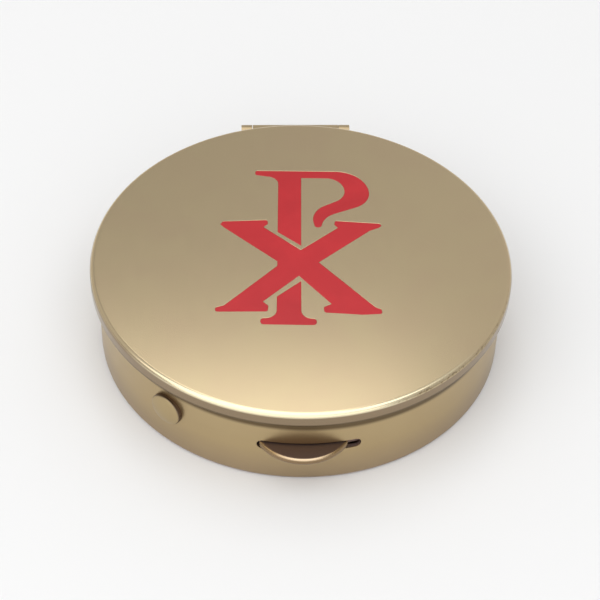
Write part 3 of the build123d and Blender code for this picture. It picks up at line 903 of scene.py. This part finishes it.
def wall_brass():
    """Turned brass with painted shade: greyer towards the foot, dark under the lid's lip and inside the slot."""
    finish = metal("satin_brass", WALL_TONES, WALL_ROUGHNESS, RINGS, FINE_DEPTH)
    tone_where(finish, zone(finish, UP, FOOT_FADE)["Below"], FOOT_SHADE_TONE)
    shade_foot = zone(finish, WALL_SHADE_UP, WALL_SHADE_FOOT_FADE)["Above"]
    shade_head = zone(finish, UP, WALL_SHADE_HEAD_FADE)["Below"]
    tone_where(finish, overlap(finish, shade_foot, shade_head), WALL_SHADE_TONE)
    deep = depth_zone(finish, SLOT_DEPTH_FADE)["Below"]
    hidden = overlap(finish, deep, zone(finish, UP, SLOT_HEIGHT_FADE)["Below"])
    tone_where(finish, hidden, SLOT_SHADE_TONE)
    rough_where(finish, hidden, HIDDEN_ROUGHNESS)
    return finish


def catch_brass():
    """Dark top painted for the dark reflection it shows, a brown edge with a painted highlight at its middle, and
    dull with painted shade inside the slot.
    """
    finish = metal("catch_brass", CATCH_TONES, CATCH_ROUGHNESS, RINGS, PLAIN_DEPTH)
    rim = zone(finish, UP, RIM_FADE)["Above"]
    tone_where(finish, rim, RIM_TONE)
    middle = zone(finish, FRONT, RIM_HIGHLIGHT_FADE)["Above"]
    tone_where(finish, overlap(finish, rim, middle), RIM_HIGHLIGHT_TONE)
    plate = zone(finish, UP, PLATE_FADE)["Above"]
    tone_where(finish, plate, PLATE_DARK_REFLECTION_TONE)
    rough_where(finish, plate, PLATE_ROUGHNESS)
    hidden = zone(finish, FRONT, CATCH_HIDDEN_FADE)["Below"]
    tone_where(finish, hidden, SLOT_SHADE_TONE)
    rough_where(finish, hidden, HIDDEN_ROUGHNESS)
    return finish


def rivet_brass():
    """Much the same brass as the wall, with painted shade round the side of the head."""
    finish = metal("rivet_brass", RIVET_TONES, RIVET_ROUGHNESS, RINGS, PLAIN_DEPTH)
    tone_where(finish, zone(finish, RIVET_OUT, RIVET_SIDE_SHADE_FADE)["Below"], RIVET_SIDE_SHADE_TONE)
    return finish


FINISHES = {
    "lid_brass": lid_brass(),
    "satin_brass": wall_brass(),
    "hinge_brass": metal("hinge_brass", HINGE_TONES, HINGE_ROUGHNESS, RINGS, PLAIN_DEPTH),
    "catch_brass": catch_brass(),
    "spring_bronze": metal("spring_bronze", SPRING_TONES, SPRING_ROUGHNESS, RINGS, ROLLED_DEPTH),
    "gilt_lining": metal("gilt_lining", GILT_TONES, GILT_ROUGHNESS, RINGS, PLAIN_DEPTH),
    "red_enamel": enamel_finish(),
}
RIVET_FINISH = rivet_brass()


# Studio

CAMERA_DISTANCE = 235.0 * MM
CAMERA_ELEVATION = math.radians(45.77)
CAMERA_YAW = math.radians(-2.7)
CAMERA_ROLL = math.radians(1.63)
CAMERA_AIM = Vector((0, 0, 5.0 * MM))
LENS = 105.85
CLIP_START = 10 * MM

# Floor, room and lights; the overhead lights' limits are in heights of the light
FLOOR_SIZE = 6.0
FLOOR_GAP = 0.02 * MM
FLOOR_TONE = (0.9, 0.9, 0.9)
FLOOR_ROUGHNESS = 0.9
FLOOR_SPECULAR = 0.1
ROOM_LEVEL, DARK_LEVEL = 0.6, 0.41
DARK_WAY = Vector((-0.2, 0.7, 0.7)).normalized()
DARK_FROM = 0.9
LIGHT_HEIGHT = 0.7
STRIP_X, STRIP_Y = (-0.25, 0.15), (0.1, 0.86)
SOFTBOX_X, SOFTBOX_Y = (-1.5, 0.65), (-0.95, 0.1)
STRIP_RADIANCE, SOFTBOX_RADIANCE = 1.4, 1.0
PANEL_PLACE = Vector((-0.25, -1.1, 0.5))
PANEL_SIZE = (2.8, 0.9)
PANEL_RADIANCE = 0.7


def set_camera():
    camera = bpy.data.objects.new("photo_camera", bpy.data.cameras.new("photo_camera"))
    bpy.context.scene.collection.objects.link(camera)
    flat = math.cos(CAMERA_ELEVATION)
    back = Vector((flat * math.sin(CAMERA_YAW), -flat * math.cos(CAMERA_YAW), math.sin(CAMERA_ELEVATION)))
    camera.location = back * CAMERA_DISTANCE
    camera.rotation_euler = (CAMERA_AIM - camera.location).to_track_quat("-Z", "Y").to_euler()
    camera.rotation_euler.rotate_axis("Z", CAMERA_ROLL)
    camera.data.lens = LENS
    camera.data.clip_start = CLIP_START
    bpy.context.scene.camera = camera


def lay_floor():
    bpy.ops.object.select_all(action="DESELECT")
    bpy.ops.mesh.primitive_plane_add(size=FLOOR_SIZE, location=(0, 0, -FLOOR_GAP))
    floor = named("studio_floor")
    finish, _, shader, _ = new_finish("studio_floor")
    shader.inputs["Base Color"].default_value = (*FLOOR_TONE, 1)
    shader.inputs["Roughness"].default_value = FLOOR_ROUGHNESS
    shader.inputs["Specular IOR Level"].default_value = FLOOR_SPECULAR
    floor.data.materials.append(finish)


def hang_light(name, place, size, radiance, target):
    """Soft rectangular light of a given brightness, turned to a point."""
    light = bpy.data.lights.new(name, "AREA")
    light.shape = "RECTANGLE"
    light.size, light.size_y = size
    light.energy = radiance * math.pi * size[0] * size[1]
    lamp = bpy.data.objects.new(name, light)
    lamp.location = place
    lamp.rotation_euler = (target - place).to_track_quat("-Z", "Y").to_euler()
    bpy.context.scene.collection.objects.link(lamp)


def hang_overhead(name, x_range, y_range, radiance):
    """Level light over the box, between limits given in heights of the light."""
    middle = Vector((sum(x_range) / 2, sum(y_range) / 2, 1)) * LIGHT_HEIGHT
    size = ((x_range[1] - x_range[0]) * LIGHT_HEIGHT, (y_range[1] - y_range[0]) * LIGHT_HEIGHT)
    hang_light(name, middle, size, radiance, middle - UP)


def hang_lights():
    hang_overhead("overhead_strip", STRIP_X, STRIP_Y, STRIP_RADIANCE)
    hang_overhead("overhead_softbox", SOFTBOX_X, SOFTBOX_Y, SOFTBOX_RADIANCE)
    hang_light("front_panel", PANEL_PLACE, PANEL_SIZE, PANEL_RADIANCE, ORIGIN)


def set_world():
    """White room, darker behind and above."""
    world = bpy.data.worlds.new("studio")
    world.use_nodes = True
    tree = world.node_tree
    way = tree.nodes.new("ShaderNodeTexCoord").outputs["Generated"]
    dark = add_node(tree, "ShaderNodeVectorMath", {0: way, 1: DARK_WAY}, operation="DOT_PRODUCT")
    limits = {"From Min": DARK_FROM, "From Max": 1.0, "To Min": ROOM_LEVEL, "To Max": DARK_LEVEL}
    level = add_node(tree, "ShaderNodeMapRange", {"Value": dark.outputs["Value"], **limits})
    background = tree.nodes["Background"]
    background.inputs["Color"].default_value = (1, 1, 1, 1)
    tree.links.new(level.outputs[0], background.inputs["Strength"])
    bpy.context.scene.world = world
    bpy.context.scene.view_settings.view_transform = "Standard"


# The whole box and its studio

make_cup()
make_well()
make_rivet()
make_spring()
make_thumb_catch()
make_thumb_rivets()
make_base_leaf()
make_lid_leaf()
make_pin()
make_striker()
make_enamel("enamel_chi", "chi_enamel")
make_enamel("enamel_rho_head", "rho_head_enamel")
make_enamel("enamel_rho_foot", "rho_foot_enamel")
make_lid()
set_camera()
lay_floor()
hang_lights()
set_world()
